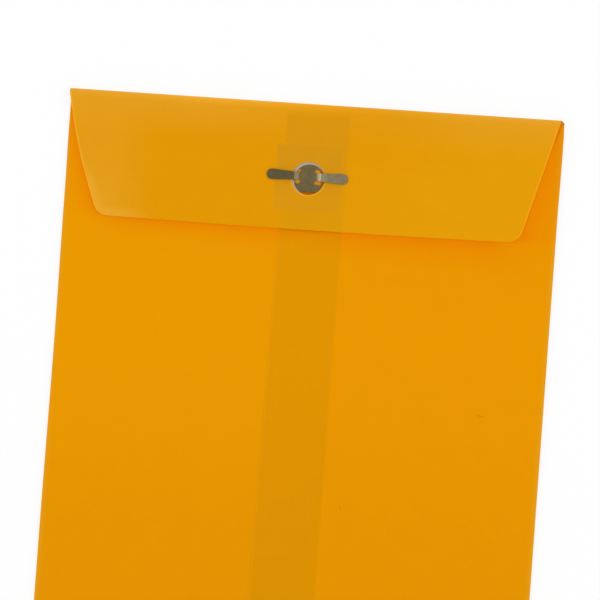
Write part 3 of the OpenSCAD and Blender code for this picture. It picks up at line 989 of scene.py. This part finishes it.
def kraft():
    """Golden kraft paper, which shows how many layers lie under it."""
    material, wiring, shader = new_material("golden_kraft")
    blank = wiring.add("ShaderNodeUVMap", uv_map="blank").outputs[0]
    across, along, _ = wiring.parts(blank)
    place = wiring.object_place()
    x, y, _ = wiring.parts(place)
    x = wiring.minus(x, MIDDLE_X)
    gap = wiring.attribute("flap_gap")
    share_right = wiring.ramp(across, *SIDE_CHANGE)
    panels = kraft_on_panels(wiring, x, y, share_right, gap)
    in_hole, hole_share = kraft_in_hole(wiring, x, y)
    panels = wiring.mix(hole_share, panels, in_hole)
    far_out = wiring.math("ABSOLUTE", across)
    on_back = wiring.ramp(far_out, SIDE_CREST, SIDE_END)
    on_low_flap = wiring.times(wiring.ramp(along, BOTTOM_Y, BOTTOM_END), LOW_FLAP_STRENGTH)
    panels = wiring.mix(wiring.math("MAXIMUM", on_back, on_low_flap), KRAFT_LEFT, panels)
    # Painted light on the inside of the front panel at the mouth's ends, where the fold and the flap
    # shade it
    shoulder = wiring.times(wiring.attribute("inner"), wiring.ramp(far_out, *SHOULDER_ACROSS))
    shoulder = wiring.times(shoulder, wiring.ramp(along, *SHOULDER_ALONG))
    panels = wiring.mix(shoulder, panels, SHOULDER_PAINTED_LIGHT)
    flap = kraft_on_flap(wiring, x, y, gap)
    colour = wiring.mix(wiring.ramp(along, *FLAP_CHANGE), panels, flap)
    grain = wiring.group(PAPER_GRAIN, Vector=blank)
    tone = wiring.times(grain["Cloud"], CLOUD_TONE)
    tone = wiring.math("MULTIPLY_ADD", grain["Fibre"], FIBRE_TONE, tone)
    colour = toned(wiring, colour, tone)
    for spot, turn, length, bend, strength in STRAY_FIBRES:
        mask = wiring.group(
            STRAY_FIBRE, Vector=place, Place=(spot.x, spot.y, LAP_MID),
            Turn=turn, Length=length, Bend=bend,
        )["Mask"]
        mask = wiring.times(wiring.times(mask, on_back), strength)
        colour = wiring.mix(mask, colour, DARK_FIBRE)
    wiring.fill(shader.inputs, {
        "Base Color": colour,
        "Normal": wiring.relief(grain["Height"], KRAFT_RELIEF, GRAIN_DEPTH),
        "Roughness": wiring.math("MULTIPLY_ADD", grain["Fibre"], *KRAFT_ROUGHNESS),
        "Specular IOR Level": KRAFT_SPECULAR,
    })
    return material


CUT_PAPER = srgb(238, 168, 52)
PATCH_GREY = srgb(174, 160, 147)


def plain_paper(name, colour, fibre_tone, roughness, specular, relief=0):
    """Paper of one colour with the shared grain, and with its relief where one is asked for."""
    material, wiring, shader = new_material(name)
    grain = wiring.group(PAPER_GRAIN, Vector=wiring.object_place())
    wiring.fill(shader.inputs, {
        "Base Color": toned(wiring, colour, wiring.times(grain["Fibre"], fibre_tone)),
        "Roughness": roughness,
        "Specular IOR Level": specular,
    })
    if relief:
        wiring.fill(shader.inputs, {"Normal": wiring.relief(grain["Height"], relief, GRAIN_DEPTH)})
    return material


def cut_edge():
    """The paler cut edge of the kraft paper."""
    return plain_paper(
        "kraft_cut_edge", CUT_PAPER, fibre_tone=0.08, roughness=0.9, specular=0.03,
    )


def patch_paper():
    """Greyish paper of the reinforcing patch."""
    return plain_paper(
        "patch_paper", PATCH_GREY, fibre_tone=0.06, roughness=0.85, specular=0.1, relief=0.3,
    )


# The clasp's metal. Places are measured from its middle, and a noise has a scale and detail
DULL_TIN = srgb(106, 94, 63)
# Painted shade of the left prong and painted highlight of the right prong, as the light falls on
# them
LEFT_PRONG_SHADE = srgb(92, 82, 55)
RIGHT_PRONG_HIGHLIGHT = srgb(158, 148, 120)
BRUSH_STRETCH = (1, 0.12, 1)
BRUSH_NOISE = 9000, 3
TIN_CLOUD_NOISE = 420, 3
BLOTCH_NOISE = 1400, 2
BRUSH_TONE = 0.16
TIN_CLOUD_TONE = 0.18
BLOTCH_TONE = 0.3
LEFT_PRONG_SHADE_SPAN = -4.4 * MM, -3.2 * MM
PRONG_HIGHLIGHT_SPAN = 3.6 * MM, 5.4 * MM
PRONG_HIGHLIGHT_FADE = 5 * MM, 8.5 * MM
PRONG_HIGHLIGHT_STRENGTH = 0.7, 0.34
PRONG_SIDE = 2.2 * MM, 2.6 * MM
TIN_ROUGHNESS = 0.08, 0.38
BRUSH_RELIEF = 0.2
BRUSH_DEPTH = 0.01 * MM


def tinplate():
    """Dull, faintly brushed tinplate, with painted shade on one prong and a painted highlight on the
    other.
    """
    material, wiring, shader = new_material("dull_tinplate")
    place = wiring.object_place()
    x, y, _ = wiring.parts(place)
    along = wiring.minus(x, CLASP.x)
    across = wiring.math("ABSOLUTE", wiring.minus(y, CLASP.y))
    brushing = wiring.noise(wiring.vector("MULTIPLY", place, BRUSH_STRETCH), *BRUSH_NOISE)
    clouds = wiring.noise(place, *TIN_CLOUD_NOISE)
    blotches = wiring.noise(place, *BLOTCH_NOISE)
    tone = wiring.times(brushing, BRUSH_TONE)
    tone = wiring.math("MULTIPLY_ADD", clouds, TIN_CLOUD_TONE, tone)
    tone = wiring.math("MULTIPLY_ADD", blotches, BLOTCH_TONE, tone)
    # Painted shade darkens the left prong; a painted highlight lightens the right prong from its
    # bend, fading towards its tip
    left_prong_shade = wiring.ramp(along, *LEFT_PRONG_SHADE_SPAN, 1.0, 0.0)
    colour = wiring.mix(left_prong_shade, DULL_TIN, LEFT_PRONG_SHADE)
    prong_highlight = wiring.ramp(along, *PRONG_HIGHLIGHT_SPAN)
    prong_highlight = wiring.times(prong_highlight, wiring.ramp(along, *PRONG_HIGHLIGHT_FADE, *PRONG_HIGHLIGHT_STRENGTH))
    on_prong = wiring.ramp(across, *PRONG_SIDE, 1.0, 0.0)
    colour = wiring.mix(wiring.times(prong_highlight, on_prong), colour, RIGHT_PRONG_HIGHLIGHT)
    wiring.fill(shader.inputs, {
        "Base Color": toned(wiring, colour, tone),
        "Roughness": wiring.math("MULTIPLY_ADD", clouds, *TIN_ROUGHNESS),
        "Normal": wiring.relief(brushing, BRUSH_RELIEF, BRUSH_DEPTH),
        "Metallic": 1,
    })
    return material


# The clasp and the patch

WELD_DISTANCE = 0.001 * MM
FLAT_ANGLE = math.radians(1)
SHARP_ANGLE = math.radians(35)
EDGE_ROUND = 0.04 * MM


def clasp_piece():
    """The clasp's stamping, bevelled only as far as its shortest edges allow."""
    bm = bmesh.new()
    bm.from_mesh(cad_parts["clasp"].data)
    bmesh.ops.remove_doubles(bm, verts=bm.verts[:], dist=WELD_DISTANCE)
    bmesh.ops.dissolve_limit(bm, angle_limit=FLAT_ANGLE, verts=bm.verts[:], edges=bm.edges[:])
    sharp = [
        edge for edge in bm.edges
        if edge.is_manifold and edge.calc_face_angle() > SHARP_ANGLE
    ]
    bmesh.ops.bevel(
        bm, geom=sharp, offset=EDGE_ROUND, affect="EDGES", segments=2,
        profile=0.5, material=-1, clamp_overlap=True,
    )
    clasp = make_piece("clasp_stamping", bm, "root", [tinplate()])
    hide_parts("clasp")


def dress_patch():
    """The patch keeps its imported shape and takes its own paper."""
    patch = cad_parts["eyelet_patch"]
    patch.data.materials.clear()
    patch.data.materials.append(patch_paper())


# Camera, light and floor

WHITE = (1, 1, 1, 1)
SKY_HEIGHT = 0.2, 1.0
SKY_LEVEL = 1.055, 0.48
FLOOR_GREY = (0.97, 0.97, 0.97, 1)
FLOOR_HALF = 3
FLOOR_DROP = 0.02 * MM
FLOOR_GLOW = 0.8

# Name, place, size and watts of each lamp
LAMPS = (
    ("right_lamp", (1.3, 0.3, 1.0), 0.9, 7.5),
    ("left_lamp", (-1.3, 0.3, 1.0), 0.9, 7.3),
)


def camera():
    data = bpy.data.cameras.new("camera")
    data.sensor_width = SENSOR_WIDTH
    data.lens = SENSOR_WIDTH * CAMERA_AWAY / (PHOTO_SIZE * PHOTO_SCALE)
    data.clip_start = CLIP_START
    data.clip_end = CLIP_END
    eye = bpy.data.objects.new("camera", data)
    bpy.context.scene.collection.objects.link(eye)
    turned = Matrix((CAMERA_RIGHT, CAMERA_UP, LINE_OF_SIGHT)).transposed().to_4x4()
    eye.matrix_world = Matrix.Translation(AIM + CAMERA_AWAY * LINE_OF_SIGHT) @ turned
    bpy.context.scene.camera = eye


def area_lamp(name, place, size, watts):
    data = bpy.data.lights.new(name, "AREA")
    data.shape = "SQUARE"
    data.size = size
    data.energy = watts
    lamp = bpy.data.objects.new(name, data)
    bpy.context.scene.collection.objects.link(lamp)
    lamp.location = place
    lamp.rotation_euler = (-Vector(place)).to_track_quat("-Z", "Y").to_euler()


def seen_directly(wiring):
    """One for what is seen by the camera, in a mirror or through glass, and nothing for light."""
    path = wiring.add("ShaderNodeLightPath").outputs
    seen = wiring.math("MAXIMUM", path["Is Camera Ray"], path["Is Glossy Ray"])
    return wiring.math("MAXIMUM", seen, path["Is Transmission Ray"])


def studio_world():
    """Soft white surroundings, dimmer overhead, where the camera hangs."""
    world = bpy.data.worlds.new("studio")
    bpy.context.scene.world = world
    world.use_nodes = True
    world.node_tree.nodes.clear()
    wiring = Wiring(world.node_tree)
    direction = wiring.add("ShaderNodeTexCoord").outputs["Generated"]
    _, _, height = wiring.parts(direction)
    level = wiring.ramp(height, *SKY_HEIGHT, *SKY_LEVEL)
    level = wiring.mix(seen_directly(wiring), level, WHITE)
    back = wiring.add("ShaderNodeBackground", {"Color": level, "Strength": 1.0})
    wiring.add("ShaderNodeOutputWorld", {"Surface": back.outputs[0]})


def floor():
    """White floor, mostly glowing where it is seen, so that the shadows on it stay faint."""
    bm = bmesh.new()
    bmesh.ops.create_grid(
        bm, x_segments=1, y_segments=1, size=FLOOR_HALF,
        matrix=Matrix.Translation((0, 0, -FLOOR_DROP)),
    )
    mesh = bpy.data.meshes.new("floor")
    bm.to_mesh(mesh)
    bm.free()
    ground = bpy.data.objects.new("floor", mesh)
    bpy.context.scene.collection.objects.link(ground)
    material, wiring, shader = new_material("white_floor")
    wiring.fill(shader.inputs, {
        "Base Color": FLOOR_GREY, "Roughness": 1, "Specular IOR Level": 0,
    })
    glow = wiring.add("ShaderNodeEmission", {"Color": WHITE, "Strength": 1.0})
    share = wiring.times(seen_directly(wiring), FLOOR_GLOW)
    blend = wiring.add(
        "ShaderNodeMixShader", {0: share, 1: shader.outputs[0], 2: glow.outputs[0]}
    )
    end = next(item for item in wiring.tree.nodes if item.type == "OUTPUT_MATERIAL")
    wiring.fill(end.inputs, {"Surface": blend.outputs[0]})
    mesh.materials.append(material)


bpy.context.scene.view_settings.view_transform = "Standard"
camera()
studio_world()
for lamp_setting in LAMPS:
    area_lamp(*lamp_setting)
floor()
envelope_sheet()
clasp_piece()
dress_patch()
